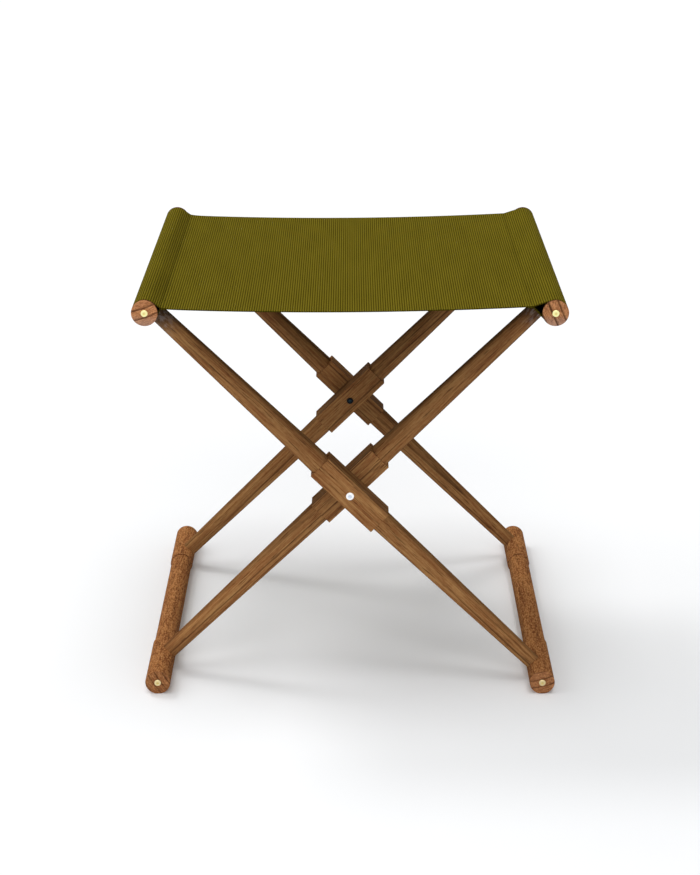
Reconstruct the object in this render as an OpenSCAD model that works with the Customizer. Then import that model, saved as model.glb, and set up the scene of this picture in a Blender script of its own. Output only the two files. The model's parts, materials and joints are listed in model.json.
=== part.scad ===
// Folding cross-leg stool with a cloth sling seat.
// Two wooden frames cross at a bolted pivot in front and behind. Each frame is one top rail, one
// floor rail and two legs, each turned from one stick that stays a flat-sided block at the pivot.
// The outer frame holds the top rail on the left and the floor rail on the right. The inner frame
// stands between the outer frame's legs and holds the other two rails. A cloth sling runs from
// top rail to top rail and stops the frames when they are open.
// Origin: on the floor under the pivots, X across the stool, Y from front to back, Z up.

/* [Frames] */
// Distance across the stool between the axes of its left and right rails
rail_spacing = 432; // [400:1:470]
// Height from the floor rails' axes to the top rails' axes
frame_height = 431; // [400:1:470]
// Length of every rail, end face to end face
rail_length = 429; // [380:1:480]

/* [Rails] */
// Diameter of the end lips of the top rails and of the thick ends of the floor rails
rail_d = 28; // [26:0.5:32]
// Depth of the step down from a floor rail's thick ends to its slimmer middle
floor_rail_step = 1.3; // [0.6:0.1:2.5]
// Length of each thick end of a floor rail
thick_end_l = 94; // [80:1:115]
// Length of each end lip of a top rail, outside the cloth
lip_l = 3.4; // [2:0.2:5]
// Bevel round the end face of a rail
rail_bevel = 0.5; // [0.2:0.1:1]
// Height planed off under the thick ends, so that the stool stands on flats
sole_cut = 0.5; // [0.3:0.1:1]

/* [Legs] */
// Distance from a rail's end face to the axis of the outer leg
leg_setback = 37.5; // [30:0.5:42]
// Width of the block across the leg
block_w = 28; // [26.5:0.5:32]
// Thickness of the block along the pivot
block_t = 26.5; // [26.5:0.5:32]
// Length of the block along the leg
block_l = 93; // [80:1:110]
// Diameter of the turned part where it leaves the block
leg_mid_d = 25.2; // [22:0.1:26.4]
// Diameter of the leg where it meets the top rail
leg_top_d = 17.9; // [16:0.1:19.5]
// Diameter of the leg where it meets the floor rail
leg_foot_d = 17.3; // [15.5:0.1:20]
// Diameter of the tenon that enters the rail
tenon_d = 14; // [12:0.5:15]
// Length of the tenon past the rail's axis
tenon_reach = 7; // [5.5:0.5:8]
// Room left under the end of the tenon
mortise_room = 1; // [0.3:0.1:1.5]
// Glue line between wood and wood
glue_gap = 0.05; // [0.02:0.01:0.1]

/* [Pivots] */
// Outer diameter of the barrel that both legs turn on
barrel_d = 6.4; // [6:0.1:7.2]
// Radial running clearance of the barrel in the legs
barrel_clear = 0.08; // [0.03:0.01:0.1]
// Room left in the barrel's tapped hole beyond the end of its screw
barrel_tap_room = 4; // [1:0.5:8]
// Diameter of the barrel's round head, on the outer side of a pivot
pivot_head_d = 9; // [8.5:0.1:11]
// Diameter of the screw's round head, on the inner side of a pivot
screw_head_d = 8; // [7.8:0.1:11]
// Height of the pivot heads
pivot_head_h = 1.6; // [1.4:0.1:2.4]
// Diameter of the screw that closes a pivot
pivot_screw_d = 4; // [3:0.1:4.5]
// Length of the screw that closes a pivot, under its head
pivot_screw_l = 18; // [12:1:24]
// Width across the flats of the key sockets in the pivot heads
pivot_key = 3; // [2.5:0.1:3.2]
// Depth of the key sockets in the pivot heads
pivot_key_depth = 1.2; // [0.8:0.1:1.3]
// Thickness of the washer between the two blocks
washer_t = 1.1; // [0.6:0.1:2.5]
// Outer diameter of the washer
washer_d = 18; // [14:0.5:22]
// Play on each side of the washer
washer_play = 0.1; // [0.05:0.01:0.15]

/* [End screws] */
// Diameter of the brass head on a rail's end face
end_head_d = 7.5; // [7:0.1:9.5]
// Height of the brass head
end_head_h = 1.2; // [1:0.1:1.8]
// Diameter of the brass screw in the wood
end_shank_d = 4.4; // [3.6:0.1:5]
// Length of the screw past the tenon that it locks
end_screw_past = 6; // [4:0.5:10]
// Width across the flats of the key socket in the brass head
end_key = 2.5; // [2:0.1:2.8]
// Depth of the key socket in the brass head
end_key_depth = 0.9; // [0.6:0.1:0.95]
// Room left in the wood beyond the end of an end screw
end_screw_room = 0.5; // [0.2:0.1:2]
// Radial gap between a screw and the hole that it is driven into
screw_gap = 0.05; // [0.02:0.01:0.1]

/* [Sling] */
// Thickness of the cloth
cloth_t = 1; // [0.7:0.1:2]
// Gap between the cloth and the rail that it is wrapped round
cloth_gap = 0.3; // [0.2:0.05:0.5]
// Gap between the end lips and the cloth's cut edges
cloth_end_gap = 0.3; // [0.2:0.1:1]
// Distance from the left rail's axis in to the seam that closes the tunnel
left_seam_in = 21; // [19:0.2:26]
// Height of the left seam over the rail's axis
left_seam_up = 3.6; // [2:0.1:7]
// Distance from the right rail's axis in to its seam
right_seam_in = 23.4; // [19:0.2:26]
// Height of the right seam over the rail's axis
right_seam_up = 6.4; // [2:0.1:7]
// Width of the hem that is sewn flat under the seat beside a seam
hem_l = 5; // [4:0.5:8]
// Depth of the seat's sag below the line from seam to seam
seat_sag = 4.4; // [2:0.2:8]
// Gap round a leg where it leaves the tunnel
leg_hole_gap = 1; // [0.6:0.1:2]

/* [Hidden] */
$fn = 64;

// Which side a rail or a leg's end is on, and which end of the stool
LEFT = -1;
RIGHT = 1;
FRONT = -1;
BACK = 1;

// Rails
rail_r = rail_d / 2;
waist_r = rail_r - floor_rail_step;
rail_x = rail_spacing / 2;
floor_axis_z = rail_r - sole_cut;
top_axis_z = floor_axis_z + frame_height;

// The cloth wraps the top rails level with their end lips, so their cores are slimmer
wrap_r = rail_r;
wrap_inner_r = wrap_r - cloth_t;
core_r = wrap_inner_r - cloth_gap;

// Legs: the lean is measured from upright, and a leg's own Z runs along it from foot to top
pivot_z = floor_axis_z + frame_height / 2;
lean = atan2(rail_x, frame_height / 2);
leg_half = norm([rail_x, frame_height / 2]);
block_gap = washer_t + 2 * washer_play;
outer_y = rail_length / 2 - leg_setback;
inner_y = outer_y - block_t - block_gap;
tenon_r = tenon_d / 2;

// Pivot bolts: distances from the stool's middle to the faces that they pass
outer_face_y = outer_y + block_t / 2;
inner_face_y = inner_y - block_t / 2;
barrel_l = outer_face_y - inner_face_y + washer_play;

// Pivot and screw heads: share of the height that is an upright rim, and how far the dome leans in
// for each part of its rise
head_rim = 0.45;
head_slope = 1.4;
head_steps = 6;

// Sling: its width along the rails, and the steps of the curves of its seat, hems and tunnels
cloth_width = rail_length - 2 * (lip_l + cloth_end_gap);
seat_steps = 24;
hem_steps = 2;
wrap_steps = 40;

// What a cutting tool reaches past the face that it cuts
past = 0.01;

WOOD = [0.47, 0.31, 0.19];
STEEL = [0.78, 0.78, 0.76];
DARK_STEEL = [0.16, 0.16, 0.18];
BRASS = [0.85, 0.74, 0.42];
CLOTH = [0.40, 0.37, 0.12];

// How far an end screw reaches from a rail's end face, past the leg's tenon at leg_y
function end_screw_length(leg_y) = rail_length / 2 - leg_y + tenon_r + end_screw_past;

// Outline of one half of a rail, radius against distance from the rail's middle. The end part is
// end_l long, and the middle part has the radius middle_r.
function rail_outline(end_l, middle_r) = [
    [middle_r, 0], [middle_r, rail_length / 2 - end_l], [rail_r, rail_length / 2 - end_l],
    [rail_r, rail_length / 2 - rail_bevel], [rail_r - rail_bevel, rail_length / 2]
];

// A turned rail along Y, with a screw hole in each end
module turned_rail(end_l, middle_r, leg_y) {
    half = rail_outline(end_l, middle_r);
    other_half = [for (i = [len(half) - 1 : -1 : 1]) [half[i].x, -half[i].y]];
    difference() {
        rotate([90, 0, 0]) rotate_extrude()
            polygon(concat(half, [[0, rail_length / 2], [0, -rail_length / 2]], other_half));
        for (end = [FRONT, BACK])
            facing_out(end, rail_length / 2)
                translate([0, 0, -end_screw_length(leg_y) - end_screw_room])
                    cylinder(
                        r = end_shank_d / 2 + screw_gap,
                        h = end_screw_length(leg_y) + end_screw_room + past
                    );
    }
}

// Blind mortises for the two legs that meet a rail, angle from upright to the leg's direction
module mortises(leg_y, angle) {
    for (end = [FRONT, BACK])
        translate([0, end * leg_y, 0])
            rotate([0, angle, 0])
                translate([0, 0, -tenon_reach - mortise_room])
                    cylinder(r = tenon_r + glue_gap, h = rail_d + tenon_reach);
}

module top_rail(side) {
    leg_y = side == LEFT ? outer_y : inner_y;
    color(WOOD)
        translate([side * rail_x, 0, top_axis_z])
            difference() {
                turned_rail(lip_l, core_r, leg_y);
                mortises(leg_y, 180 + side * lean);
            }
}

module floor_rail(side) {
    leg_y = side == RIGHT ? outer_y : inner_y;
    color(WOOD)
        translate([side * rail_x, 0, floor_axis_z])
            difference() {
                turned_rail(thick_end_l, waist_r, leg_y);
                mortises(leg_y, -side * lean);
                translate([-rail_d, -rail_length, -floor_axis_z - rail_d])
                    cube([2 * rail_d, 2 * rail_length, rail_d]);
            }
}

// A leg along Z with the pivot at the origin: a flat-sided block, two turned arms that taper to the
// rails, and a tenon at each end. The arms are scooped to sit on the rails that they meet.
module turned_leg() {
    foot_z = -leg_half;
    difference() {
        union() {
            cube([block_w, block_t, block_l], center = true);
            difference() {
                rotate_extrude()
                    polygon([
                        [0, foot_z], [leg_foot_d / 2, foot_z], [leg_mid_d / 2, -block_l / 2],
                        [leg_mid_d / 2, block_l / 2], [leg_top_d / 2, leg_half], [0, leg_half]
                    ]);
                translate([0, 0, foot_z]) rotate([90, 0, 0])
                    cylinder(r = rail_r + glue_gap, h = 2 * block_t, center = true);
                translate([0, 0, leg_half]) rotate([90, 0, 0])
                    cylinder(r = core_r + glue_gap, h = 2 * block_t, center = true);
            }
            for (end_turn = [0, 180])
                rotate([end_turn, 0, 0])
                    translate([0, 0, leg_half - rail_d])
                        cylinder(r = tenon_r, h = rail_d + tenon_reach);
        }
        rotate([90, 0, 0])
            cylinder(r = barrel_d / 2 + barrel_clear, h = 2 * block_t, center = true);
        for (z = [foot_z, leg_half])
            translate([0, 0, z]) rotate([90, 0, 0])
                cylinder(r = end_shank_d / 2 + screw_gap, h = 2 * block_t, center = true);
    }
}

module outer_leg(end) {
    color(WOOD) translate([0, end * outer_y, pivot_z]) rotate([0, -lean, 0]) turned_leg();
}

module inner_leg(end) {
    color(WOOD) translate([0, end * inner_y, pivot_z]) rotate([0, lean, 0]) turned_leg();
}

// A low domed head standing on z = 0, with a six-sided key socket
module domed_head(d, h, key, key_depth) {
    rim = h * head_rim;
    dome = [for (i = [0 : head_steps]) let (a = 90 * i / head_steps)
        [d / 2 - (h - rim) * (1 - cos(a)) * head_slope, rim + (h - rim) * sin(a)]];
    difference() {
        rotate_extrude() polygon(concat([[0, 0], [d / 2, 0]], dome, [[0, h]]));
        translate([0, 0, h - key_depth])
            cylinder(d = key / cos(30), h = key_depth + past, $fn = 6);
    }
}

// Places what is drawn along Z, heads upwards, on the front or the back face of the stool at
// distance y from its middle, facing out
module facing_out(end, y) {
    translate([0, end * y, 0]) rotate([-end * 90, 0, 0]) children();
}

module pivot_barrel(end) {
    color(STEEL)
        translate([0, 0, pivot_z])
            facing_out(end, outer_face_y) {
                domed_head(pivot_head_d, pivot_head_h, pivot_key, pivot_key_depth);
                translate([0, 0, -barrel_l])
                    difference() {
                        cylinder(d = barrel_d, h = barrel_l);
                        translate([0, 0, -past])
                            cylinder(
                                r = pivot_screw_d / 2 + screw_gap,
                                h = pivot_screw_l + barrel_tap_room + past
                            );
                    }
            }
}

module pivot_screw(end) {
    color(DARK_STEEL)
        translate([0, 0, pivot_z])
            facing_out(end, inner_face_y - washer_play) rotate([180, 0, 0]) {
                domed_head(screw_head_d, pivot_head_h, pivot_key, pivot_key_depth);
                translate([0, 0, -pivot_screw_l]) cylinder(d = pivot_screw_d, h = pivot_screw_l);
            }
}

module pivot_washer(end) {
    color(STEEL)
        translate([0, 0, pivot_z])
            facing_out(end, inner_y + block_t / 2 + washer_play)
                difference() {
                    cylinder(d = washer_d, h = washer_t);
                    translate([0, 0, -past])
                        cylinder(r = barrel_d / 2 + barrel_clear, h = washer_t + 2 * past);
                }
}

module end_screw(side, axis_z, end, leg_y) {
    shank_l = end_screw_length(leg_y);
    color(BRASS)
        translate([side * rail_x, 0, axis_z])
            facing_out(end, rail_length / 2) {
                domed_head(end_head_d, end_head_h, end_key, end_key_depth);
                translate([0, 0, -shank_l]) cylinder(d = end_shank_d, h = shank_l);
            }
}

// Height of the cloth's middle surface over the rails' axes, across the seat. The share runs
// from 0 at the left seam to 1 at the right one.
function seat_height(share) =
    left_seam_up + (right_seam_up - left_seam_up) * share - 4 * seat_sag * share * (1 - share);

function seat_x(share) =
    -rail_x + left_seam_in + (rail_spacing - left_seam_in - right_seam_in) * share;

// Points along the seat from share a to share b, at a height over the cloth's middle surface
function seat_row(a, b, over, steps) = [
    for (i = [0 : steps])
        let (share = a + (b - a) * i / steps)
            [seat_x(share), seat_height(share) + over]
];

// Where the layers over and under a rail meet at its seam, from the rail's axis, and the directions
// in which both leave the circle of the wrap to run straight to that seam
function seam_over(seam_in, seam_up) = [seam_in, seam_up + cloth_t / 2];
function seam_under(seam_in, seam_up) = [seam_in, seam_up - 1.5 * cloth_t];
function leave_over(seam) = atan2(seam.y, seam.x) + acos(wrap_r / norm(seam));
function leave_under(seam) = atan2(seam.y, seam.x) - acos(wrap_r / norm(seam));
function at_angle(r, a) = r * [cos(a), sin(a)];

// Points round a rail from the direction a to the direction b, on a circle of radius r
function round_rail(r, a, b) = [
    for (i = [0 : wrap_steps]) at_angle(r, a + (b - a) * i / wrap_steps)
];

// Outside of a tunnel from the layer over its rail to the layer under it, with the seam towards +X
function tunnel_outside(seam_in, seam_up) = round_rail(
    wrap_r,
    leave_over(seam_over(seam_in, seam_up)),
    360 + leave_under(seam_under(seam_in, seam_up))
);

// Outline of the room inside that tunnel, which leaves two layers of even thickness
function tunnel_inside(seam_in, seam_up) =
    let (
        a = leave_over(seam_over(seam_in, seam_up)),
        b = leave_under(seam_under(seam_in, seam_up))
    )
        concat(
            round_rail(wrap_inner_r, a, 360 + b),
            [at_angle(wrap_inner_r / cos((a - b) / 2), (a + b) / 2)]
        );

// Moves points from a rail's axis to their side of the stool, and turns the seam inwards
function on_side(side, points) = [for (p = points) [side * (rail_x - p.x), p.y]];
function backwards(points) = [for (i = [len(points) - 1 : -1 : 0]) points[i]];

// Section of the whole sling: the seat, the tunnels' outsides and the hems under the seat
module sling_section() {
    hem = hem_l / (rail_spacing - left_seam_in - right_seam_in);
    polygon(concat(
        seat_row(0, 1, cloth_t / 2, seat_steps),
        on_side(RIGHT, tunnel_outside(right_seam_in, right_seam_up)),
        seat_row(1, 1 - hem, -1.5 * cloth_t, hem_steps),
        seat_row(1 - hem, hem, -cloth_t / 2, seat_steps),
        seat_row(hem, 0, -1.5 * cloth_t, hem_steps),
        on_side(LEFT, backwards(tunnel_outside(left_seam_in, left_seam_up)))
    ));
}

// Runs a section of the sling along Y for the length l, at the height of the top rails
module along_rails(l) {
    translate([0, 0, top_axis_z])
        rotate([90, 0, 0]) linear_extrude(height = l, center = true) children();
}

// Holes in a tunnel for the two legs that leave its rail
module leg_holes(side, leg_y) {
    for (end = [FRONT, BACK])
        translate([side * rail_x, end * leg_y, top_axis_z])
            rotate([0, 180 + side * lean, 0])
                cylinder(r = leg_top_d / 2 + leg_hole_gap, h = 2 * rail_d);
}

module seat_sling() {
    color(CLOTH)
        difference() {
            along_rails(cloth_width) sling_section();
            along_rails(rail_length)
                polygon(on_side(LEFT, tunnel_inside(left_seam_in, left_seam_up)));
            along_rails(rail_length)
                polygon(on_side(RIGHT, tunnel_inside(right_seam_in, right_seam_up)));
            leg_holes(LEFT, outer_y);
            leg_holes(RIGHT, inner_y);
        }
}

top_rail(LEFT);  // top_rail_left
top_rail(RIGHT);  // top_rail_right
floor_rail(LEFT);  // floor_rail_left
floor_rail(RIGHT);  // floor_rail_right
outer_leg(FRONT);  // outer_leg_front
outer_leg(BACK);  // outer_leg_back
inner_leg(FRONT);  // inner_leg_front
inner_leg(BACK);  // inner_leg_back
pivot_barrel(FRONT);  // pivot_barrel_front
pivot_barrel(BACK);  // pivot_barrel_back
pivot_screw(FRONT);  // pivot_screw_front
pivot_screw(BACK);  // pivot_screw_back
pivot_washer(FRONT);  // pivot_washer_front
pivot_washer(BACK);  // pivot_washer_back
end_screw(LEFT, top_axis_z, FRONT, outer_y);  // end_screw_top_left_front
end_screw(LEFT, top_axis_z, BACK, outer_y);  // end_screw_top_left_back
end_screw(RIGHT, top_axis_z, FRONT, inner_y);  // end_screw_top_right_front
end_screw(RIGHT, top_axis_z, BACK, inner_y);  // end_screw_top_right_back
end_screw(LEFT, floor_axis_z, FRONT, inner_y);  // end_screw_floor_left_front
end_screw(LEFT, floor_axis_z, BACK, inner_y);  // end_screw_floor_left_back
end_screw(RIGHT, floor_axis_z, FRONT, outer_y);  // end_screw_floor_right_front
end_screw(RIGHT, floor_axis_z, BACK, outer_y);  // end_screw_floor_right_back
seat_sling();
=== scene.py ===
# %% [markdown]
# # A folding stool with a cloth seat
# Two wooden frames cross at a bolted pivot, and a ribbed cloth sling hangs between their top
# rails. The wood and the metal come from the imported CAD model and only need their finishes. The
# sling is soft, so it is made here as cloth.

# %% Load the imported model
import json
import math

import bmesh
import bpy
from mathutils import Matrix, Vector


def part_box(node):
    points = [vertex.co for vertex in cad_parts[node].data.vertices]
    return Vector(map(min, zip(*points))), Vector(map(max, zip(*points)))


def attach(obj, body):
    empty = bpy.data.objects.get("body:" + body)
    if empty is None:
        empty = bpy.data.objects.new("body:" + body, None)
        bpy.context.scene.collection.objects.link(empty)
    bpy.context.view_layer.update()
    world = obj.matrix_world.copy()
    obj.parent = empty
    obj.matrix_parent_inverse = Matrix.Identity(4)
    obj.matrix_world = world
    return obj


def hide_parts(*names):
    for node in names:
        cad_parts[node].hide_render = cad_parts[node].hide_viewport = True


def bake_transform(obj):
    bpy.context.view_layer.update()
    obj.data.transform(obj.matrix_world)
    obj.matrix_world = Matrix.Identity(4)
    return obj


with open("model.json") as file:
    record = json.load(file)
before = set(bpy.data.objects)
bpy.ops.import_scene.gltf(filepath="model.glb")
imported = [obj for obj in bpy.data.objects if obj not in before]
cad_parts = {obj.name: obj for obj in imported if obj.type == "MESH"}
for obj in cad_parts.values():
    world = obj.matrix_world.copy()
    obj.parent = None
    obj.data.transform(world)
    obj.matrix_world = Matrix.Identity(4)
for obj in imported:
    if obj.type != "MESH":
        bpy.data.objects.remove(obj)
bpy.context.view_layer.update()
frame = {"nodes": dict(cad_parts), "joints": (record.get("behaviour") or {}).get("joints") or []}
nodes = frame["nodes"]

# %% [markdown]
# ## The camera
# A small photo camera looks down on the stool from the front. Its height, its distance and its
# long lens make the four rail ends fall where they do in the photograph. A shorter lens from
# nearer by would spread the front legs too far apart.

# %% Place the camera
LENS_MM = 80.95
DEGREES_DOWN = 19.8
CAMERA_AT = (0.0, -2.2005, 1.0212)

lens = bpy.data.cameras.new("camera")
lens.lens = LENS_MM
camera = bpy.data.objects.new("camera", lens)
camera.location = CAMERA_AT
camera.rotation_euler = (math.radians(90 - DEGREES_DOWN), 0.0, 0.0)
bpy.context.scene.collection.objects.link(camera)
bpy.context.scene.camera = camera
print("camera at", tuple(round(x, 3) for x in camera.location))

# %% [markdown]
# ## Writing node trees as arithmetic
# A node tree is easier to read as arithmetic. A Wire is a number that leaves a node, and adding or
# multiplying wires adds the Math nodes. Every other kind of node comes from one method, which
# takes its type, its settings and its sockets. A Finish is such a tree that belongs to a material.


# %% A number in a node tree
class Wire:
    """A number that leaves a node."""

    def __init__(self, owner, socket):
        self.owner, self.socket = owner, socket

    def maths(self, operation, *others):
        return self.owner.maths(operation, self, *others)

    def __add__(self, other):
        return self.maths("ADD", other)

    def __sub__(self, other):
        return self.maths("SUBTRACT", other)

    def __rsub__(self, other):
        return self.owner.maths("SUBTRACT", other, self)

    def __mul__(self, other):
        return self.maths("MULTIPLY", other)

    def __truediv__(self, other):
        return self.maths("DIVIDE", other)

    def __pow__(self, other):
        return self.maths("POWER", other)

    __radd__ = __add__
    __rmul__ = __mul__

    def rise(self, low, high):
        """A smooth step from 0 at low to 1 at high."""
        return self.owner.node(
            "ShaderNodeMapRange",
            {"interpolation_type": "SMOOTHSTEP"},
            {"Value": self, "From Min": low, "From Max": high},
        )


# %% A node tree under construction
class Nodes:
    """A node tree that starts empty."""

    def __init__(self, tree):
        self.tree = tree
        tree.nodes.clear()

    def node(self, kind, settings=None, inputs=None, output=None):
        """Adds a node and returns one of its outputs, the first one in use if none is named."""
        made = self.tree.nodes.new(kind)
        for key, value in (settings or {}).items():
            if key == "stops":
                self.set_stops(made.color_ramp, value)
            else:
                setattr(made, key, value)
        for key, value in (inputs or {}).items():
            named = [s for s in made.inputs if s.enabled and s.name == key]
            self.feed(made.inputs[key] if isinstance(key, int) else named[0], value)
        shown = [s for s in made.outputs if s.enabled and output in (None, s.name)]
        return Wire(self, shown[0] if shown else None)

    def feed(self, socket, value):
        if isinstance(value, Wire):
            self.tree.links.new(value.socket, socket)
        else:
            socket.default_value = value

    def set_stops(self, ramp, stops):
        while len(ramp.elements) < len(stops):
            ramp.elements.new(1.0)
        for element, (place, colour) in zip(ramp.elements, stops):
            element.position = place
            element.color = (*colour, 1.0)

    def maths(self, operation, *values):
        made = self.tree.nodes.new("ShaderNodeMath")
        made.operation = operation
        for socket, value in zip(made.inputs, values):
            self.feed(socket, value)
        return Wire(self, made.outputs[0])

    def mix(self, share, a, b):
        """Mixes two colours, all of a at share 0 and all of b at share 1."""
        a, b = [x if isinstance(x, Wire) else (*x, 1.0) for x in (a, b)]
        return self.node("ShaderNodeMix", {"data_type": "RGBA"}, {"Factor": share, "A": a, "B": b})

    def noise(self, vector, scale, detail=2.0, roughness=0.5):
        return self.node(
            "ShaderNodeTexNoise",
            None,
            {"Vector": vector, "Scale": scale, "Detail": detail, "Roughness": roughness},
        )

    def joined(self, x, y, z=0.0):
        """A vector from its x, y and z."""
        return self.node("ShaderNodeCombineXYZ", None, {"X": x, "Y": y, "Z": z})

    def parts(self, vector):
        """The x, y and z of a vector."""
        first = self.node("ShaderNodeSeparateXYZ", None, {"Vector": vector})
        return [Wire(self, s) for s in first.socket.node.outputs]

    def looked_at(self):
        """1 to the camera and to whatever mirrors the surface, and 0 to the light it sheds."""
        seen = self.node("ShaderNodeLightPath", None, None, "Is Camera Ray")
        return seen + Wire(self, seen.socket.node.outputs["Is Glossy Ray"])


# %% A material under construction
FAINT_SHINE = 0.005


class Finish(Nodes):
    """The node tree of a new material."""

    def __init__(self, name):
        self.material = bpy.data.materials.new(name)
        self.material.use_nodes = True
        super().__init__(self.material.node_tree)

    def surface(self, base, rough, height, depth, **constants):
        """Joins colour, roughness and relief to the surface, and returns the material."""
        bump = self.node(
            "ShaderNodeBump", None, {"Height": height, "Distance": depth, "Strength": 1.0}
        )
        inputs = {"Base Color": base, "Roughness": rough, "Normal": bump}
        inputs.update({key.replace("_", " "): value for key, value in constants.items()})
        shader = self.node("ShaderNodeBsdfPrincipled", None, inputs)
        self.node("ShaderNodeOutputMaterial", None, {"Surface": shader})
        return self.material


# %% [markdown]
# ## The floor
# The photograph has a white floor that runs on out of sight. One wide plane makes it, a tenth of
# a millimetre under the stool's feet. It is a little cool, which cancels the warm light that the
# wood throws on it. A faint glow, which only the camera and shiny metal see, lifts it to the
# photograph's white, and the shadow on it stays.

# %% Lay the floor
WHITE = (1.0, 1.0, 1.0, 1.0)
COOL_WHITE = (0.889, 0.899, 0.914, 1.0)
GLOW = 0.07
FLOOR_WIDTH = 60.0
UNDER_FEET = 0.0001


def white_floor():
    finish = Finish("floor_white")
    glow = finish.node(
        "ShaderNodeEmission", None, {"Color": WHITE, "Strength": finish.looked_at() * GLOW}
    )
    matt = finish.node("ShaderNodeBsdfDiffuse", None, {"Color": COOL_WHITE})
    both = finish.node("ShaderNodeAddShader", None, {0: glow, 1: matt})
    finish.node("ShaderNodeOutputMaterial", None, {"Surface": both})
    return finish.material


bpy.ops.mesh.primitive_plane_add(size=FLOOR_WIDTH, location=(0.0, 0.0, -UNDER_FEET))
floor = bpy.context.object
floor.name = "floor"
floor.data.materials.append(white_floor())
print("floor:", FLOOR_WIDTH, "m wide")

# %% [markdown]
# ## The light
# The shadow in the photograph is very soft and falls to the right and a little to the front, so
# the key light stands high up behind the left side, with a narrow core in it. Wide lamps
# overhead, on the left and in front fill the rest, and some light comes from all round. The lamps
# are suns, which light a floor evenly at any distance. Area lamps near the stool would leave
# bright patches on it.


# %% Hang the lamps
def lamp(name, turn, tilt, width, strength):
    """A wide, far lamp. Its turn goes from the front to the right and its tilt from overhead down,
    in degrees, and at strength 1 a surface square to it shows its colour as it is written."""
    light = bpy.data.lights.new(name, "SUN")
    light.angle = math.radians(width)
    light.energy = strength * math.pi
    made = bpy.data.objects.new(name, light)
    made.rotation_euler = (math.radians(tilt), 0.0, math.radians(turn))
    bpy.context.scene.collection.objects.link(made)


lamp("key_wide", 225.0, 50.0, 35.0, 0.167)
lamp("key_core", 225.0, 35.0, 14.0, 0.154)
lamp("overhead", 0.0, 0.0, 35.0, 0.358)
lamp("fill_left", 270.0, 50.0, 35.0, 0.126)
lamp("fill_front", 0.0, 50.0, 35.0, 0.164)

# %% Light from all round
ALL_ROUND = 0.308

world = bpy.data.worlds.new("white_room")
world.use_nodes = True
sky = Nodes(world.node_tree)
level = sky.node(
    "ShaderNodeMapRange", None, {"Value": sky.looked_at(), "To Min": ALL_ROUND, "To Max": 1.0}
)
dome = sky.node("ShaderNodeBackground", None, {"Color": WHITE, "Strength": level})
sky.node("ShaderNodeOutputWorld", None, {"Surface": dome})
bpy.context.scene.world = world
bpy.context.scene.view_settings.view_transform = "Standard"
print("light from all round:", ALL_ROUND)

# %% [markdown]
# ## Oiled wood
# The rails and legs are a warm brown hardwood with dark lines of late growth, fine pores and a
# slightly different tone from piece to piece. A picture of wood laid on a turned leg would show a
# seam and the same ring on every side, so the pattern is a solid one: rings round a heart line
# outside the piece, and noise drawn out along the grain. Where the surface faces along the grain
# it is an end, and there the rings show as they are cut.


# %% A piece's own grain
class Timber(Finish):
    """The finish of one wooden piece. Its own Z runs along the grain from the piece's middle, once
    the turn is undone. End and flank are 1 where the surface faces along Z and along X."""

    def __init__(self, name, centre, turn, seed):
        super().__init__(name)
        self.seed = seed
        turn_back = {"vector_type": "TEXTURE"}
        self.place = self.node("ShaderNodeTexCoord", None, None, "Object")
        normal = self.node("ShaderNodeTexCoord", None, None, "Normal")
        self.own = self.node(
            "ShaderNodeMapping",
            turn_back,
            {"Vector": self.place, "Location": centre, "Rotation": turn},
        )
        facing = self.node("ShaderNodeMapping", turn_back, {"Vector": normal, "Rotation": turn})
        self.x, self.y, self.z = self.parts(self.own)
        to_flank, _, to_end = self.parts(facing)
        self.end = self.maths("ABSOLUTE", to_end).rise(0.6, 0.7)
        self.flank = self.maths("ABSOLUTE", to_flank).rise(0.7, 1.0)

    def figure(self, across, along, shift=0.0, detail=1.0, roughness=0.5):
        """Noise with so many forms to the metre across the grain and along it."""
        spread = self.node(
            "ShaderNodeMapping",
            None,
            {
                "Vector": self.own,
                "Location": (self.seed + shift, self.seed, self.seed),
                "Scale": (across, across, along),
            },
        )
        return self.noise(spread, 1.0, detail, roughness)


# %% Rings of late growth
LATE_WOOD = (0.05, 0.018, 0.008)


def late_growth(wood, heart, kind):
    """How dark the late growth is, and the bands of tone that follow the rings on the ends. The
    heart has a direction in degrees, a distance and the gap from ring to ring."""
    degrees, far, ring_gap = heart
    way = math.radians(degrees)
    to_x, to_y = wood.x - far * math.cos(way), wood.y - far * math.sin(way)
    from_heart = (to_x ** 2.0 + to_y ** 2.0) ** 0.5
    sway = wood.figure(30.0, 3.0) - 0.5
    ring = wood.maths("FRACT", (from_heart + sway * kind["sway"]) / ring_gap)
    line = ring.rise(0.66, 0.87) * (1.0 - ring.rise(0.93, 0.99))
    strength = wood.figure(60.0, 4.0, shift=7.7).rise(0.38, 0.62)
    on_ends = wood.end * (strength * 0.25 + kind["rings"])
    on_sides = (1.0 - wood.end) * (strength * kind["lines"])
    round_heart = wood.maths("ARCTAN2", to_y, to_x) * far
    spread = wood.joined(from_heart * 820.0, round_heart * 150.0, wood.seed)
    bands = wood.noise(spread, 1.0, detail=2.0, roughness=0.6).rise(0.38, 0.62)
    return line * (on_ends + on_sides), bands


# %% [markdown]
# ## Tone, dust and painted shade of the wood
# Between the rings the rails show short flecks and specks of gold, and the legs long streaks. The
# top rails' ends have some dust low down. The flanks of the rails and of a leg and its arms, and
# the narrow lips beside the cloth, are darker with painted shade. A leg's top under the seat is
# blotted with painted black shade and a painted grey highlight. Each of these is one more colour
# mixed in by a mask, which is easier to tune than a single ramp of colours.

# %% Flecks and streaks
GOLD_WOOD = (0.64, 0.33, 0.13)


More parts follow.
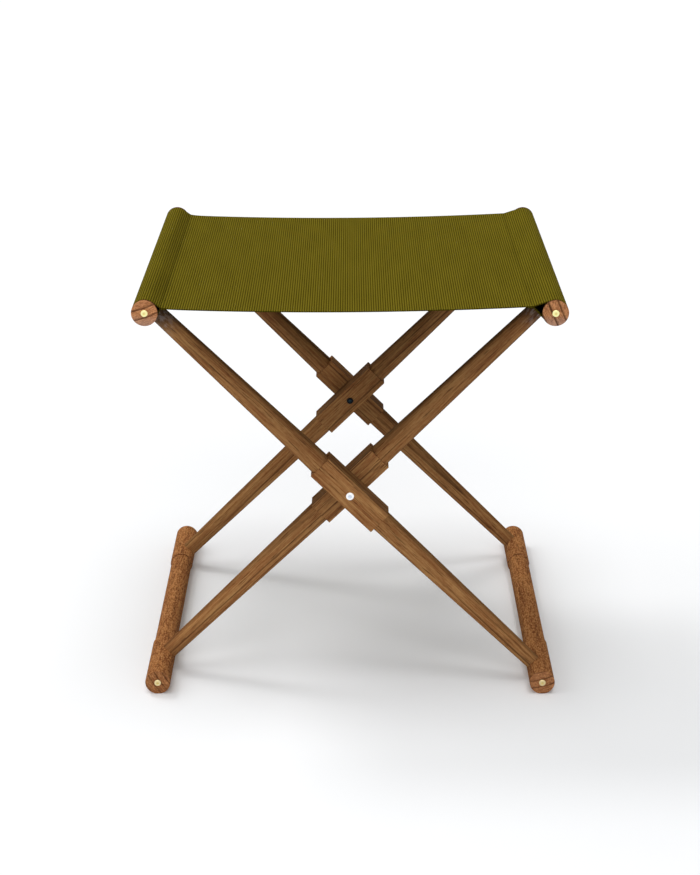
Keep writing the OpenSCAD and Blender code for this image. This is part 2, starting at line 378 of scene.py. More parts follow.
def mottled(wood, fleck, fibres, light, deep):
    """The wood's ground colour, with flecks for this share and streaks for the rest."""
    patches = wood.figure(150.0, 16.0, shift=1.3, detail=3.0, roughness=0.6).rise(0.3, 0.7)
    streaks = wood.figure(560.0, 22.0, shift=4.4, detail=2.0, roughness=0.6).rise(0.3, 0.7)
    flecks = wood.figure(600.0, 210.0, shift=2.2).rise(0.36, 0.64)
    specks = wood.figure(680.0, 260.0, shift=6.6).rise(0.56, 0.7)
    shade = patches * 0.4 + streaks * (0.64 * (1.0 - fleck)) + flecks * (0.95 * fleck)
    ground = wood.mix(shade + (fibres - 0.5) * 0.7 - 0.04, light, deep)
    return wood.mix(specks * (fleck * 0.5), ground, GOLD_WOOD)


# %% Painted shade and highlight on the wood
# The colour of painted shade on flanks, lips and places along the legs.
PAINTED_SHADE_WOOD = (0.03, 0.013, 0.006)
# A painted grey highlight and painted black shade, blotted on a leg's top under the seat.
GREY_HIGHLIGHT = (0.14, 0.14, 0.15)
BLACK_SHADE = (0.022, 0.019, 0.019)
SHADE_SPAN = 0.64
# Where along a leg its painted top shade begins and where it is full.
TOP_SHADE_FROM, TOP_SHADE_FULLY = 0.256, 0.29


def paint_shade(wood, kind, shaded, colour):
    """Darkens the flanks, the lips and the listed places with painted shade, and blots the top of
    a leg with painted black shade and a painted grey highlight. Shaded lists places along the
    grain, from the piece's middle, each with how dark its painted shade is."""
    stops = [(spot / SHADE_SPAN + 0.5, (share,) * 3) for spot, share in shaded]
    along = wood.node("ShaderNodeValToRGB", {"stops": stops}, {"Fac": wood.z / SHADE_SPAN + 0.5})
    # Painted shade: the flanks, the lips and the listed places along the grain.
    darkness = wood.flank * kind["flank"] + (1.0 - wood.end) * kind["side"] + along
    colour = wood.mix(wood.maths("MINIMUM", darkness, 0.85), colour, PAINTED_SHADE_WOOD)
    # A leg's top under the seat gets painted black shade with blots of a painted grey highlight.
    blots = wood.figure(330.0, 160.0, shift=3.1, detail=2.0, roughness=0.6).rise(0.42, 0.62)
    top_shade = wood.mix(blots, BLACK_SHADE, GREY_HIGHLIGHT)
    return wood.mix(wood.z.rise(TOP_SHADE_FROM, TOP_SHADE_FULLY) * 0.8, colour, top_shade)


# %% The whole finish of a wooden piece
PALE_WOOD = (0.97, 0.45, 0.22)
DUSTY_WOOD = (0.46, 0.31, 0.25)
DUST_DEPTH = 0.012


def oiled_wood(name, centre, kind, heart, seed, tone, shaded, end_pale):
    wood = Timber(name, centre, kind["turn"], seed)
    light, deep = [tuple(tone * part for part in kind[key]) for key in ("light", "deep")]
    dark = tuple(tone * part for part in LATE_WOOD)
    fibres = wood.figure(1500.0, 60.0, shift=5.9, detail=2.0, roughness=0.6)
    pores = wood.figure(800.0, 45.0, shift=9.2).rise(0.6, 0.72)
    late, bands = late_growth(wood, heart, kind)
    low_down = (centre.z - wood.parts(wood.place)[2]).rise(0.0, DUST_DEPTH)

    colour = mottled(wood, kind["fleck"], fibres, light, deep)
    colour = wood.mix(wood.end * end_pale, colour, PALE_WOOD)
    colour = wood.mix(wood.end * bands * 0.6, colour, deep)
    colour = wood.mix(wood.end * low_down * kind["dust"], colour, DUSTY_WOOD)
    colour = wood.mix(late * 0.85, colour, dark)
    colour = wood.mix(pores * 0.6, colour, dark)
    colour = paint_shade(wood, kind, shaded, colour)
    rough = 0.62 + fibres * 0.12 + pores * 0.1
    relief = fibres * 0.4 - pores * 0.6 - late * 0.2
    return wood.surface(colour, rough, relief, depth=0.0002, Specular_IOR_Level=FAINT_SHINE)


# %% [markdown]
# ## The wooden pieces
# Rails and legs are cut from the same wood, but their grain lies another way, they have aged
# differently and they carry different painted shade, so each kind has its own settings. Turn lays
# the grain along the piece, and light and deep are its two tones. Fleck is the share of flecks,
# the rest being streaks. Sway is how far the rings wander, and lines and rings are how dark they
# are on the sides and on the ends. Flank and side are how dark the flanks and the sides are
# painted with shade, and dust is how dusty the ends are.

# %% Kinds of wooden piece
LEAN = math.radians(45)
RAIL = {
    "turn": (math.radians(90), 0.0, 0.0),
    "light": (0.455, 0.204, 0.0705),
    "deep": (0.193, 0.0675, 0.0235),
    "fleck": 0.8,
    "sway": 0.0025,
    "lines": 0.0,
    "rings": 0.58,
    "flank": 0.3,
    "side": 0.0,
    "dust": 0.0,
}
# The top rails' side darkness is painted shade on the narrow lips beside the cloth.
TOP_RAIL = dict(RAIL, rings=0.75, side=0.7, dust=0.5)
OUTER_LEG = {
    "turn": (0.0, -LEAN, 0.0),
    "light": (0.452, 0.239, 0.0885),
    "deep": (0.228, 0.083, 0.0287),
    "fleck": 0.15,
    "sway": 0.004,
    "lines": 0.75,
    "rings": 0.75,
    "flank": 0.42,
    "side": 0.0,
    "dust": 0.0,
}
INNER_LEG = dict(OUTER_LEG, turn=(0.0, LEAN, 0.0))
print("the legs lean", round(math.degrees(LEAN)), "degrees")

# %% Places along the legs painted darker as shade
UNSHADED = ((-0.3, 0.0), (0.3, 0.0))
# Painted shade along each leg, deeper on the back legs and high up under the seat.
SHADED_LEGS = {
    "outer_leg_front": (
        (-0.15, 0.0), (-0.1, 0.09), (-0.048, 0.08), (-0.045, 0.0), (0.045, 0.0),
        (0.05, 0.14), (0.08, 0.18), (0.17, 0.13), (0.24, 0.24), (0.28, 0.06),
    ),
    "inner_leg_front": (
        (-0.15, 0.0), (-0.05, 0.22), (-0.02, 0.18), (0.02, 0.06), (0.045, 0.06),
        (0.06, 0.17), (0.12, 0.26), (0.23, 0.35), (0.28, 0.2),
    ),
    "outer_leg_back": (
        (-0.15, 0.0), (-0.1, 0.18), (-0.05, 0.34), (-0.028, 0.34), (-0.004, 0.0),
        (0.045, 0.0), (0.05, 0.2), (0.08, 0.32), (0.24, 0.32), (0.28, 0.15),
    ),
    "inner_leg_back": (
        (-0.11, 0.0), (-0.08, 0.13), (-0.03, 0.18), (0.01, 0.22), (0.03, 0.32),
        (0.09, 0.4), (0.24, 0.4), (0.28, 0.2),
    ),
}
print("worn legs:", len(SHADED_LEGS))


# %% Finish every wooden piece
def middle_of(name):
    low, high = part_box(name)
    return (low + high) / 2


def dress(name, material):
    """Gives a piece of the CAD model its finish."""
    nodes[name].data.materials.clear()
    nodes[name].data.materials.append(material)


# Each piece has its kind, its heart line, a seed, its tone and how pale its ends are.
wooden = {
    "top_rail_left": (TOP_RAIL, (110.8, 0.1257, 0.0101), 1.3, 1.4, 0.42),
    "top_rail_right": (TOP_RAIL, (23.0, 0.1264, 0.0101), 4.7, 1.2, 0.35),
    "floor_rail_left": (RAIL, (31.0, 0.0956, 0.0078), 8.2, 1.08, 0.15),
    "floor_rail_right": (RAIL, (105.0, 0.1075, 0.0087), 12.9, 1.04, 0.29),
    "outer_leg_front": (OUTER_LEG, (34.0, 0.054, 0.0062), 16.1, 1.04, 0.0),
    "outer_leg_back": (OUTER_LEG, (307.0, 0.05, 0.0058), 21.4, 1.02, 0.0),
    "inner_leg_front": (INNER_LEG, (22.0, 0.054, 0.0066), 27.8, 1.1, 0.0),
    "inner_leg_back": (INNER_LEG, (143.0, 0.05, 0.006), 33.3, 1.02, 0.0),
}
for name, (kind, heart, seed, tone, end_pale) in wooden.items():
    shaded = SHADED_LEGS.get(name, UNSHADED)
    wood = oiled_wood("wood_" + name, middle_of(name), kind, heart, seed, tone, shaded, end_pale)
    dress(name, wood)
print("wooden pieces:", len(wooden))

# %% [markdown]
# ## Metal
# The pivot heads that face out are bright nickel, those that face in are blackened, and the
# screws in the rail ends are pale brass, duller on the floor rails. The key socket in the middle
# of a head has another tone than its rim. Two materials would need the head's faces cut round the
# socket, so one material mixes two colours by the distance from the piece's own axis.

# %% Make the metals
SOCKET_EDGE = 0.0005


def metal(name, middle, rim, core, core_radius, dull):
    finish = Finish(name)
    place = finish.node("ShaderNodeTexCoord", None, None, "Object")
    x, _, z = finish.parts(place)
    off_axis = ((x - middle.x) ** 2.0 + (z - middle.z) ** 2.0) ** 0.5
    outside = off_axis.rise(core_radius - SOCKET_EDGE, core_radius + SOCKET_EDGE)
    grains = finish.noise(place, 2600.0)
    stain = finish.noise(place, 260.0) * 0.12
    shade = finish.mix(stain, finish.mix(outside, core, rim), tuple(0.6 * part for part in rim))
    rough = dull + (grains - 0.5) * 0.15
    return finish.surface(shade, rough, grains, depth=0.00003, Metallic=1.0)


# Each fastener has its slot, the colours of its rim and its core, the core's radius and how dull
# it is.
fasteners = {
    "end_screw_top": ("brass", (0.95, 0.9, 0.44), (0.8, 0.7, 0.3), 0.0016, 0.36),
    "end_screw_floor": ("brass", (0.8, 0.67, 0.36), (0.67, 0.54, 0.25), 0.0016, 0.36),
    "pivot_screw": ("dark_steel", (0.01, 0.01, 0.012), (0.018, 0.04, 0.052), 0.0018, 0.4),
    "pivot_barrel": ("steel", (0.97, 0.975, 0.98), (0.64, 0.69, 0.78), 0.0022, 0.3),
    "pivot_washer": ("steel", (0.8, 0.81, 0.82), (0.6, 0.62, 0.64), 0.004, 0.4),
}
for name in nodes:
    for start, (slot, *look) in fasteners.items():
        if name.startswith(start):
            dress(name, metal("metal_" + name, middle_of(name), *look))
print("metals on", sum(1 for name in nodes if name.startswith(tuple(fasteners))), "fasteners")

# %% [markdown]
# ## Sizes of the sling
# The rails and the cut width come from the CAD model. The cloth's thickness, its sag, its hems and
# the places of its two seams are those of the real sling. The left seam lies closer to its rail
# than the right one, and the seat curls up to it.

# %% Sizes of the sling
left_axis = middle_of("top_rail_left")
right_axis = middle_of("top_rail_right")
RAIL_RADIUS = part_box("top_rail_left")[1].z - left_axis.z
HALF_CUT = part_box("seat_sling")[1].y
THICK = 0.001
SAG = 0.0044
HEM = 0.005
CURL, CURL_REACH = 0.0012, 0.006
LEFT_IN, LEFT_UP = 0.0165, 0.0048
RIGHT_IN, RIGHT_UP = 0.0234, 0.0064
LEFT_SEAM = (left_axis.x + LEFT_IN, left_axis.z + LEFT_UP)
RIGHT_SEAM = (right_axis.x - RIGHT_IN, right_axis.z + RIGHT_UP)


def seat_height(x):
    """Height of the seat's middle line at x."""
    part = (x - LEFT_SEAM[0]) / (RIGHT_SEAM[0] - LEFT_SEAM[0])
    start = LEFT_SEAM[1] - CURL
    line = start + part * (RIGHT_SEAM[1] - start)
    curl = CURL * math.exp((LEFT_SEAM[0] - x) / CURL_REACH)
    return line + curl - 4 * SAG * part * (1 - part)


print("seams at", LEFT_SEAM, RIGHT_SEAM, "half cut width", round(HALF_CUT, 4))

# %% [markdown]
# ## Ribbed cloth
# The sling is woven with thick cords that run from front to back, 2.5 mm apart, and bound by
# short cross threads that step by half a stitch from one cord to the next. The ribs are far too
# fine for the mesh, so they are colour and relief in the finish. The pattern reads the cloth's own
# map, in metres across and along, so it follows the wrap round the rails.

# %% Make the cloth's finish
RIB = 0.00252
BOUND = 0.0024
PALE_OLIVE = (0.205, 0.163, 0.0125)
DEEP_OLIVE = (0.035, 0.0255, 0.0012)
# How far in from the front and back cut edges the cloth's painted edge shade reaches.
EDGE_SHADE_FROM, EDGE_SHADE_FULLY = 0.0016, 0.0002


def ribbed_cloth(name):
    finish = Finish(name)
    across, along, _ = finish.parts(
        finish.node("ShaderNodeUVMap", {"uv_map": "cloth"}, None, "UV")
    )
    count = across / RIB
    cord = finish.maths("ABSOLUTE", finish.maths("SINE", count * math.pi))
    row = finish.maths("FLOOR", count) * 0.5
    knot = finish.maths("ABSOLUTE", finish.maths("SINE", (along / BOUND + row) * math.pi))
    spread = finish.joined(across * 160.0, along * 30.0)
    thread = finish.noise(spread, 9.0)
    cloud = finish.noise(spread, 0.35)
    body = cord ** 1.25 * (0.62 + knot * 0.38)
    lit = body + (thread - 0.5) * 0.66 + (cloud - 0.5) * 0.24
    # Painted shade darkens the cloth along its front and back cut edges.
    edge_shade = finish.maths("ABSOLUTE", along).rise(HALF_CUT - EDGE_SHADE_FROM, HALF_CUT - EDGE_SHADE_FULLY)
    colour = finish.mix(lit * (1.0 - edge_shade * 0.75), DEEP_OLIVE, PALE_OLIVE)
    rough = 0.9 - body * 0.1
    return finish.surface(colour, rough, body, depth=0.0005, Specular_IOR_Level=FAINT_SHINE)


cloth = ribbed_cloth("olive_cloth")
print("ribs across the seat:", round((RIGHT_SEAM[0] - LEFT_SEAM[0]) / RIB))

# %% [markdown]
# ## The seat
# The seat follows a rule: it starts at the seam of the left tunnel, ends at the seam of the right
# one, and sags between them like a shallow arch turned over. It still curls up a little to the
# left seam, which sits close to its rail. A simulation could let the cloth sag, but so taut a
# sheet only needs the rule, and Geometry Nodes draw it from those sizes.


# %% A tree of Geometry Nodes
class Shape:
    """A Geometry Nodes tree under construction, with named inputs."""

    def __init__(self, name, sizes):
        self.tree = bpy.data.node_groups.new(name, "GeometryNodeTree")
        face = self.tree.interface
        face.new_socket("Geometry", in_out="INPUT", socket_type="NodeSocketGeometry")
        for key, value in sizes.items():
            kind = "NodeSocketInt" if isinstance(value, int) else "NodeSocketFloat"
            face.new_socket(key, in_out="INPUT", socket_type=kind).default_value = value
        face.new_socket("Material", in_out="INPUT", socket_type="NodeSocketMaterial")
        face.new_socket("Geometry", in_out="OUTPUT", socket_type="NodeSocketGeometry")
        self.given = self.tree.nodes.new("NodeGroupInput").outputs
        self.end = self.tree.nodes.new("NodeGroupOutput")

    def node(self, kind, settings=None, inputs=None, output=0):
        """Adds a node and returns one of its outputs. A list feeds all its links to one socket."""
        made = self.tree.nodes.new(kind)
        for key, value in (settings or {}).items():
            setattr(made, key, value)
        for key, value in (inputs or {}).items():
            named = [s for s in made.inputs if s.enabled and s.name == key]
            socket = made.inputs[key] if isinstance(key, int) else named[0]
            for each in value if isinstance(value, list) else [value]:
                if isinstance(each, bpy.types.NodeSocket):
                    self.tree.links.new(each, socket)
                else:
                    socket.default_value = each
        return made.outputs[output]

    def maths(self, operation, a, b=0.0):
        return self.node("ShaderNodeMath", {"operation": operation}, {0: a, 1: b})

    def joined(self, x=0.0, y=0.0, z=0.0):
        """A vector from its x, y and z."""
        return self.node("ShaderNodeCombineXYZ", None, {"X": x, "Y": y, "Z": z})

    def close(self, mesh):
        """Realizes instances, sets the material and ends the tree."""
        real = self.node("GeometryNodeRealizeInstances", None, {"Geometry": mesh})
        done = self.node(
            "GeometryNodeSetMaterial", None, {"Geometry": real, "Material": self.given["Material"]}
        )
        self.tree.links.new(done, self.end.inputs[0])
        return self.tree


# %% Run a tree
def run_tree(name, tree, material, **sizes):
    """Runs a tree with the given sizes and returns its result as a plain mesh object."""
    holder = bpy.data.objects.new(name, bpy.data.meshes.new(name))
    bpy.context.scene.collection.objects.link(holder)
    maker = holder.modifiers.new("maker", "NODES")
    maker.node_group = tree
    for item in tree.interface.items_tree:
        key = item.name.replace(" ", "_")
        if item.in_out == "INPUT" and key in sizes:
            maker[item.identifier] = sizes[key]
        if item.in_out == "INPUT" and key == "Material":
            maker[item.identifier] = material
    depsgraph = bpy.context.evaluated_depsgraph_get()
    mesh = bpy.data.meshes.new_from_object(holder.evaluated_get(depsgraph))
    holder.modifiers.clear()
    holder.data = mesh
    mesh.name = name
    return holder


# %% The tree for a strip of the seat
def seat_surface(shape):
    """Where a point of a flat grid goes on the seat, and its place on the cloth's map."""
    get, calc = shape.given, shape.maths
    place = shape.node("GeometryNodeInputPosition")
    at = shape.node("ShaderNodeSeparateXYZ", None, {"Vector": place})
    width = calc("SUBTRACT", get["To"], get["From"])
    x = calc("ADD", get["From"], calc("MULTIPLY", calc("ADD", at, 0.5), width))
    y = calc("MULTIPLY", at.node.outputs["Y"], get["Half Length"])
    span = calc("SUBTRACT", get["Seam Right"], get["Seam Left"])
    part = calc("DIVIDE", calc("SUBTRACT", x, get["Seam Left"]), span)
    start = calc("SUBTRACT", get["Height Left"], get["Curl"])
    rise = calc("SUBTRACT", get["Height Right"], start)
    line = calc("ADD", start, calc("MULTIPLY", part, rise))
    decay = calc("DIVIDE", calc("SUBTRACT", get["Seam Left"], x), get["Curl Reach"])
    line = calc("ADD", line, calc("MULTIPLY", get["Curl"], calc("EXPONENT", decay)))
    arch = calc("MULTIPLY", calc("MULTIPLY", part, calc("SUBTRACT", 1.0, part)), 4.0)
    z = calc("SUBTRACT", line, calc("MULTIPLY", arch, get["Sag"]))
    z = calc("ADD", calc("SUBTRACT", z, get["Below"]), calc("MULTIPLY", get["Thickness"], 0.5))
    return shape.joined(x, y, z), shape.joined(x, y)


def seat_tree():
    shape = Shape(
        "seat_strip",
        {
            "From": 0.0, "To": 0.1, "Seam Left": -0.1, "Seam Right": 0.1,
            "Height Left": 0.4, "Height Right": 0.4, "Sag": 0.004, "Below": 0.0,
            "Curl": 0.001, "Curl Reach": 0.006,
            "Half Length": 0.2, "Thickness": 0.001, "Steps": 8, "Rows": 60,
        },
    )
    get, node = shape.given, shape.node
    grid = node(
        "GeometryNodeMeshGrid",
        None,
        {"Size X": 1.0, "Size Y": 2.0, "Vertices X": get["Steps"], "Vertices Y": get["Rows"]},
    )
    spot, on_map = seat_surface(shape)
    mapped = node(
        "GeometryNodeStoreNamedAttribute",
        {"data_type": "FLOAT2", "domain": "CORNER"},
        {"Geometry": grid, "Name": "cloth", "Value": on_map},
    )
    top = node("GeometryNodeSetPosition", None, {"Geometry": mapped, "Position": spot})
    down = shape.joined(z=shape.maths("MULTIPLY", get["Thickness"], -1.0))
    lower = node(
        "GeometryNodeExtrudeMesh",
        None,
        {"Mesh": top, "Offset": down, "Offset Scale": 1.0, "Individual": False},
    )
    flipped = node("GeometryNodeFlipFaces", None, {"Mesh": top})
    shell = node("GeometryNodeJoinGeometry", None, {"Geometry": [lower, flipped]})
    shell = node("GeometryNodeMergeByDistance", None, {"Geometry": shell, "Distance": 1e-6})
    flat = node("GeometryNodeSetShadeSmooth", None, {"Geometry": shell, "Shade Smooth": False})
    return shape.close(node("GeometryNodeFlipFaces", None, {"Mesh": flat}))


# %% [markdown]
# ## How the seat folds
# When the stool folds, the cloth has to hang in a fold between the rails. One smooth bend over the
# whole seat would throw one half across the other, so the seat is cut into strips that share
# their edges. Each edge gets the share of the fold by which it would turn with the right frame to
# reach the closed stool's middle, a few millimetres apart. The strips are not bent here.

# %% Shares of the fold
fold = frame["joints"][0]
FULL_FOLD = math.radians(fold["range_deg"][1])
STRIP_EDGES = [LEFT_SEAM[0], -0.1845, -0.108, 0.120, 0.182, RIGHT_SEAM[0]]
CLOSED_GAPS = [0.0, 0.006, 0.003, 0.003, 0.006, 0.0]


def from_pivot(x):
    """Angle from upright and distance of the seat at x, as seen from the pivot."""
    up = seat_height(x) - fold["pos_m"][2]
    return math.atan2(x, up), math.hypot(x, up)


def share_of_fold(x, gap):
    """The share of the fold that leaves the seat at x this far from the closed stool's middle."""
    middle = (from_pivot(LEFT_SEAM[0])[0] + from_pivot(RIGHT_SEAM[0])[0] - FULL_FOLD) / 2
    angle, far = from_pivot(x)
    return min(max((angle - middle - math.copysign(gap / far, x)) / FULL_FOLD, 0.0), 1.0)


STRIP_SHARES = [share_of_fold(x, gap) for x, gap in zip(STRIP_EDGES, CLOSED_GAPS)]
print("shares of the fold at the strips' edges:", [round(share, 3) for share in STRIP_SHARES])

# %% [markdown]
# ## Where a strip's bend would start and end
# A bend would run smoothly from nothing at its start to the whole fold at its end. A strip only
# needs the stretch of it between its own two shares, so the places of the smooth step where those
# shares fall on the strip's edges are found. No bend is made with them.

# %% Steps of the bend, and applying transforms
HALVINGS = 50


def turn_share(share):
    """Where a smooth step 3t^2 - 2t^3 reaches share, found by halving."""
    low, high = 0.0, 1.0
    for _ in range(HALVINGS):
        middle = (low + high) / 2
        if middle * middle * (3 - 2 * middle) < share:
            low = middle
        else:
            high = middle
    return low


def bend(piece, strip):
    """Applies a piece's transform to its mesh. The bend steps at its strip's edges are worked out
    but not used.
    """
    x1, x2 = STRIP_EDGES[strip], STRIP_EDGES[strip + 1]
    t1, t2 = turn_share(STRIP_SHARES[strip]), turn_share(STRIP_SHARES[strip + 1])
    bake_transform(piece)


print("bend steps:", [round(turn_share(share), 3) for share in STRIP_SHARES])

# %% [markdown]
# ## The strips and hems
# The first strip, with the curl in it, needs finer steps than the rest. Under each seam the
# cloth's cut edge is turned in as a hem, which is a narrow strip one thickness lower.

# %% Make the seat's strips
FINE_STEP, STEP = 0.001, 0.004
HEM_STEPS = 4
seat_maker = seat_tree()
seams = {
    "Seam_Left": LEFT_SEAM[0], "Seam_Right": RIGHT_SEAM[0],
    "Height_Left": LEFT_SEAM[1], "Height_Right": RIGHT_SEAM[1],
    "Sag": SAG, "Half_Length": HALF_CUT, "Thickness": THICK,
    "Curl": CURL, "Curl_Reach": CURL_REACH,
}


def seat_piece(name, x1, x2, steps, below=0.0):
    return run_tree(name, seat_maker, cloth, From=x1, To=x2, Steps=steps, Below=below, **seams)


strips = []
for number, (x1, x2) in enumerate(zip(STRIP_EDGES, STRIP_EDGES[1:])):
    steps = round((x2 - x1) / (STEP if strips else FINE_STEP)) + 1
    strips.append(seat_piece("seat_strip_%d" % (number + 1), x1, x2, steps))
hem_left = seat_piece("hem_left", LEFT_SEAM[0], LEFT_SEAM[0] + HEM, HEM_STEPS, THICK)
hem_right = seat_piece("hem_right", RIGHT_SEAM[0] - HEM, RIGHT_SEAM[0], HEM_STEPS, THICK)
print("strips:", len(strips), "faces:", [len(strip.data.polygons) for strip in strips])

# %% [markdown]
# ## The tunnels
# Each side of the cloth goes over its rail, round it and back to the seam. A leg leaves the rail
# through a hole in the lower layer. A tube would miss the two straight runs to the seam, so the
# sheet is drawn as a row of points round the rail and given its thickness. The holes are then cut
# with cylinders that lie along the legs.

# %% Points round a rail
RUN_STEPS, ARC_STEPS = 8, 64


def direction(angle):
    return Vector((math.cos(angle), math.sin(angle)))


def wrap_points(seam_in, seam_up):
    """Middle line of the cloth round a rail at the origin, from the upper layer at the seam to the
    lower one, as (point, outward direction, distance along the cloth)."""
    radius = RAIL_RADIUS - THICK / 2
    over, under = Vector((seam_in, seam_up)), Vector((seam_in, seam_up - THICK))
    first = math.atan2(over.y, over.x) + math.acos(radius / over.length)
    last = math.atan2(under.y, under.x) - math.acos(radius / under.length) + 2 * math.pi
    leave, arrive = radius * direction(first), radius * direction(last)
    line = [(over.lerp(leave, i / RUN_STEPS), first) for i in range(RUN_STEPS)]
    for i in range(ARC_STEPS + 1):
        angle = first + (last - first) * i / ARC_STEPS
        line.append((radius * direction(angle), angle))
    line += [(arrive.lerp(under, i / RUN_STEPS), last) for i in range(1, RUN_STEPS + 1)]
    points, far, before = [], 0.0, over
    for spot, angle in line:
        far += (spot - before).length
        points.append((spot, direction(angle), far))
        before = spot
    return points


print("cloth round the left rail:", round(wrap_points(LEFT_IN, LEFT_UP)[-1][2], 4))

# %% Make a tunnel
TUNNEL_ROWS = 70


def tunnel(name, axis, side, seam_in, seam_up, seam_x):
    """The cloth round the rail at axis. Side is -1 for the left rail and 1 for the right one."""
    points = wrap_points(seam_in, seam_up)
    rows = [HALF_CUT * (2 * j / TUNNEL_ROWS - 1) for j in range(TUNNEL_ROWS + 1)]
    mesh = bmesh.new()
    grid = []
    for layer in (0.5, -0.5):
        for spot, out, _ in points:
            p = spot + out * layer * THICK
            x, z = axis.x - side * p.x, axis.z + p.y
            grid.append([mesh.verts.new((x, y, z)) for y in rows])
    uv = mesh.loops.layers.uv.new("cloth")
    far_of = [far for _, _, far in points] * 2

    def face(*corners):
        """A face from four corners, each a point's number and its row."""
        made = mesh.faces.new([grid[i][j] for i, j in corners])
        made.smooth = True
        for loop, (i, _) in zip(made.loops, corners):
            loop[uv].uv = (seam_x + side * far_of[i], loop.vert.co.y)

    count = len(points)
    outline = list(range(count)) + list(range(2 * count - 1, count - 1, -1))
    for i, following in zip(outline, outline[1:] + outline[:1]):
        for j in range(TUNNEL_ROWS):
            face((i, j), (following, j), (following, j + 1), (i, j + 1))
    for i in range(count - 1):
        for j in (0, TUNNEL_ROWS):
            face((i, j), (i + 1, j), (count + i + 1, j), (count + i, j))
    bmesh.ops.recalc_face_normals(mesh, faces=mesh.faces)
    data = bpy.data.meshes.new(name)
    mesh.to_mesh(data)
    mesh.free()
    data.materials.append(cloth)
    made = bpy.data.objects.new(name, data)
    bpy.context.scene.collection.objects.link(made)
    return made


tunnel_left = tunnel("tunnel_left", left_axis, -1, LEFT_IN, LEFT_UP, LEFT_SEAM[0])
tunnel_right = tunnel("tunnel_right", right_axis, 1, RIGHT_IN, RIGHT_UP, RIGHT_SEAM[0])
print("tunnels:", len(tunnel_left.data.polygons), len(tunnel_right.data.polygons), "faces")

# %% Cut the legs' holes
HOLE_RADIUS = 0.00995
CUTTER_LENGTH = 0.05
CUTTER_FROM_AXIS = 0.028


def cut_leg_holes(piece, axis, side, leg_y):
    """Cuts the two holes of a tunnel with cylinders along its legs."""
    away = Vector((-side, 0.0, -1.0)).normalized()
    cutters = []
    for end in (-1, 1):
        bpy.ops.mesh.primitive_cylinder_add(vertices=48, radius=HOLE_RADIUS, depth=CUTTER_LENGTH)
        cutter = bpy.context.object
        cutter.rotation_euler = (0.0, side * LEAN, 0.0)
        cutter.location = axis + Vector((0.0, end * leg_y, 0.0)) + away * CUTTER_FROM_AXIS
        cut = piece.modifiers.new("cut", "BOOLEAN")
        cut.operation = "DIFFERENCE"
        cut.object = cutter
        cutters.append(cutter)
    depsgraph = bpy.context.evaluated_depsgraph_get()
    mesh = bpy.data.meshes.new_from_object(piece.evaluated_get(depsgraph))
    piece.modifiers.clear()
    piece.data = mesh
    for cutter in cutters:
        bpy.data.objects.remove(cutter)


cut_leg_holes(tunnel_left, left_axis, -1, middle_of("outer_leg_back").y)
cut_leg_holes(tunnel_right, right_axis, 1, middle_of("inner_leg_back").y)
print("with holes:", len(tunnel_left.data.polygons), len(tunnel_right.data.polygons), "faces")

# %% [markdown]
# ## Stitches
# A line of stitches in olive thread closes each tunnel and shows as one row on top and one below.
# They repeat at one pitch, so Geometry Nodes set one small thread form on every point of a line,
# with a little turn that comes from a fixed seed. Each thread's twist is colour and relief in its
# finish.

# %% A tree for a row of stitches
STITCH_FILL = 0.86
STITCH_TURN = 0.09


def stitch_tree():
    shape = Shape(
        "stitch_row",
        {
            "X": 0.0, "Height": 0.0, "Half Length": 0.2, "Pitch": 0.003, "Thread": 0.0006,
            "Count": 10, "Seed": 3,
        },
    )
    get, calc, node = shape.given, shape.maths, shape.node
    start = shape.joined(get["X"], calc("MULTIPLY", get["Half Length"], -1.0), get["Height"])
    row = node(
        "GeometryNodeMeshLine",
        {"mode": "OFFSET"},
        {"Count": get["Count"], "Start Location": start, "Offset": shape.joined(y=get["Pitch"])},
    )
    bead = node("GeometryNodeMeshUVSphere", None, {"Segments": 8, "Rings": 6, "Radius": 0.5})
    length = calc("MULTIPLY", get["Pitch"], STITCH_FILL)
    size = shape.joined(get["Thread"], length, get["Thread"])
    bead = node("GeometryNodeTransform", None, {"Geometry": bead, "Scale": size})
    turn = node(
        "FunctionNodeRandomValue",
        {"data_type": "FLOAT"},
        {"Min": -STITCH_TURN, "Max": STITCH_TURN, "Seed": get["Seed"]},
        1,
    )
    set_on = node(
        "GeometryNodeInstanceOnPoints",
        None,
        {"Points": row, "Instance": bead, "Rotation": shape.joined(z=turn)},
    )
    return shape.close(set_on)


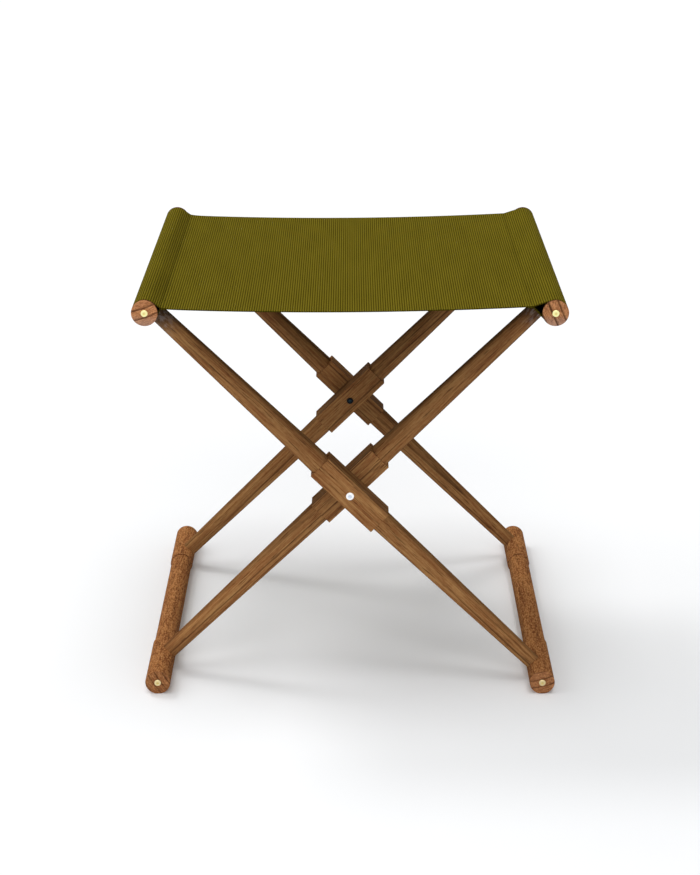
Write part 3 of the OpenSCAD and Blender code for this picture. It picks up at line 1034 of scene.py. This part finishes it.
# %% Make the stitches
PITCH = 0.0032
TWIST = 0.0007
FROM_SEAM = 0.002
FROM_EDGE = 0.003
ON_TOP, UNDERNEATH = 0.55 * THICK, -1.55 * THICK


def thread_finish():
    finish = Finish("olive_thread")
    _, y, _ = finish.parts(finish.node("ShaderNodeTexCoord", None, None, "Object"))
    twist = finish.maths("SINE", y * (2 * math.pi / TWIST))
    colour = finish.mix(twist * 0.4 + 0.5, (0.1, 0.08, 0.008), (0.16, 0.127, 0.011))
    return finish.surface(colour, 0.9, twist, depth=0.00008, Specular_IOR_Level=FAINT_SHINE)


thread = thread_finish()
stitch_maker = stitch_tree()
count = int(2 * (HALF_CUT - FROM_EDGE) / PITCH) + 1
stitches = {}
for name, x in (("left", LEFT_SEAM[0] + FROM_SEAM), ("right", RIGHT_SEAM[0] - FROM_SEAM)):
    for level, height in (("top", ON_TOP), ("under", UNDERNEATH)):
        stitches[name, level] = run_tree(
            "stitches_%s_%s" % (name, level),
            stitch_maker,
            thread,
            X=x,
            Height=seat_height(x) + height,
            Half_Length=(count - 1) * PITCH / 2,
            Pitch=PITCH,
            Count=count,
        )
print("stitches in a row:", count)

# %% [markdown]
# ## Joining the sling to the frames
# The left tunnel rides on the outer frame and the right one on the inner frame. What lies between
# them, with each hem and its stitches counted with the strip that they are sewn to, only has its
# transforms applied, the cloth's length round each rail is worked out, and the CAD model's sling
# is hidden.

# %% Ride on the frames
LAST = len(strips) - 1
for number, strip in enumerate(strips):
    bend(strip, number)
bend(hem_left, 0)
bend(hem_right, LAST)
for (name, level), piece in stitches.items():
    bend(piece, 0 if name == "left" else LAST)
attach(tunnel_left, "outer_frame")
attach(tunnel_right, "inner_frame")
print("pieces that bend:", len(strips) + 2 + len(stitches))

for piece, rail, seam_in, seam_up in (
    (tunnel_left, "top_rail_left", LEFT_IN, LEFT_UP),
    (tunnel_right, "top_rail_right", RIGHT_IN, RIGHT_UP),
):
    around = wrap_points(seam_in, seam_up)[-1][2]
for piece in [*strips, hem_left, hem_right, tunnel_left, tunnel_right]:
    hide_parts("seat_sling")
print("sheets of cloth:", len(strips) + 2)
